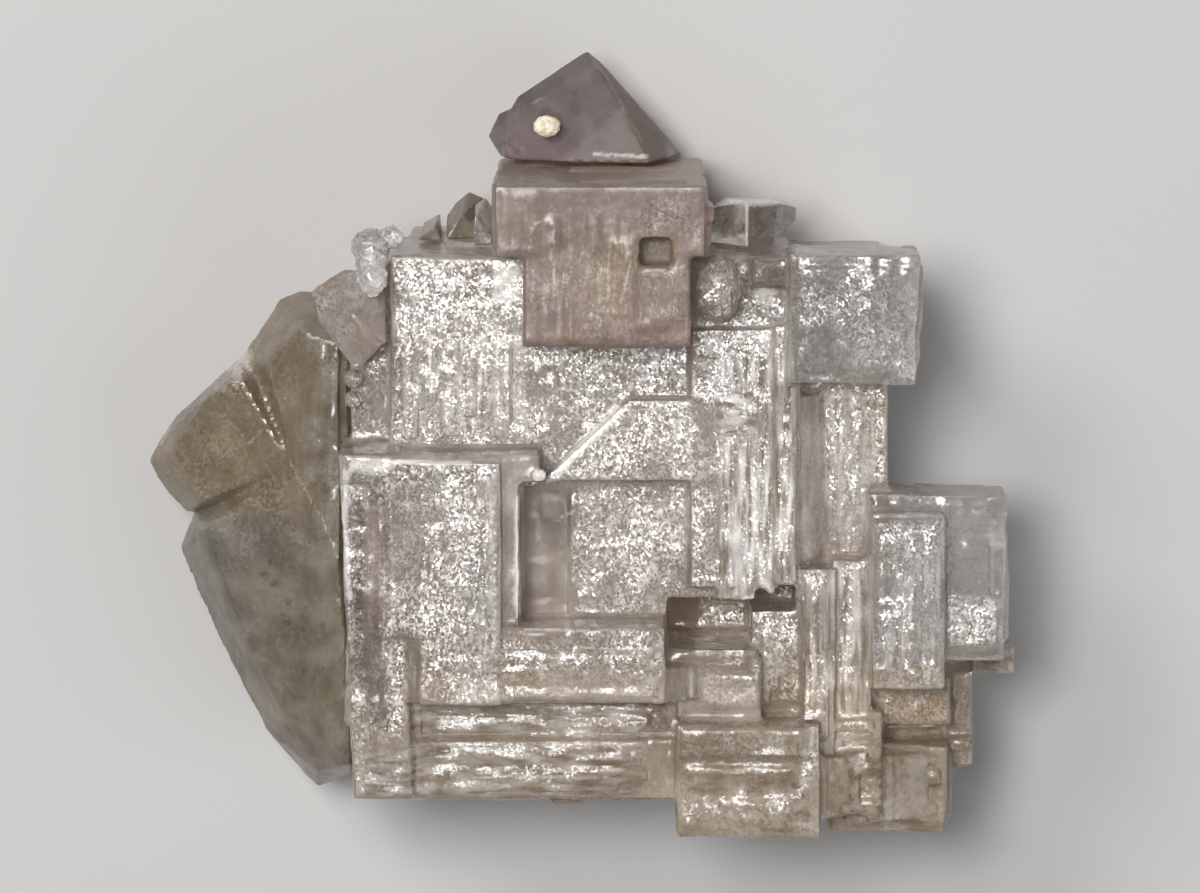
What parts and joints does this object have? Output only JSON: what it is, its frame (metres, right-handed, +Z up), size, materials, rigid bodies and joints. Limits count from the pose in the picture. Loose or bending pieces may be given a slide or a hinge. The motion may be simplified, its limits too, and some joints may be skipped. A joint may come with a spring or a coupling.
{
  "type": "halite cubic crystal cluster",
  "caption": "Hand-sized cluster of clear to smoky halite: a terraced cube crystal with stepped faces, window pits and smaller crystals grown on its edges.",
  "frame": {"origin": "middle of the outline at the level of the flat cleaved back it lies on", "axes": "+Z up from the cleaved back through the grown faces, +X along the greatest length towards the clear side cubes, +Y towards the pointed lilac crystal"},
  "size_m": [0.0608, 0.0539, 0.026],
  "materials": {
    "clear_halite": "frosted, etched, glassy on the cube sides",
    "smoky_halite": "smoky brown to grey, clear, softly dissolved faces",
    "rose_halite": "pinkish brown, banded, slightly frosted",
    "lilac_halite": "greyish lilac, satin cleavage faces",
    "small_halite": "clear glassy small crystals",
    "white_grain": "frosted white",
    "cream_grain": "dull cream mineral grain with dark specks"
  },
  "bodies": {
    "root": {"main_crystal": "clear_halite", "smoky_crystal": "smoky_halite", "rose_crystal": "rose_halite", "lilac_crystal": "lilac_halite", "prism_crystal": "small_halite", "rounded_crystal": "small_halite", "wedge_crystal": "rose_halite", "frosted_grain": "white_grain", "grey_crystal_tall": "smoky_halite", "grey_crystal_low": "smoky_halite", "grey_crystal_pale": "small_halite", "bead_crystal_upper": "small_halite", "bead_crystal_lower": "small_halite", "cream_grain": "cream_grain"}
  },
  "joints": []
}
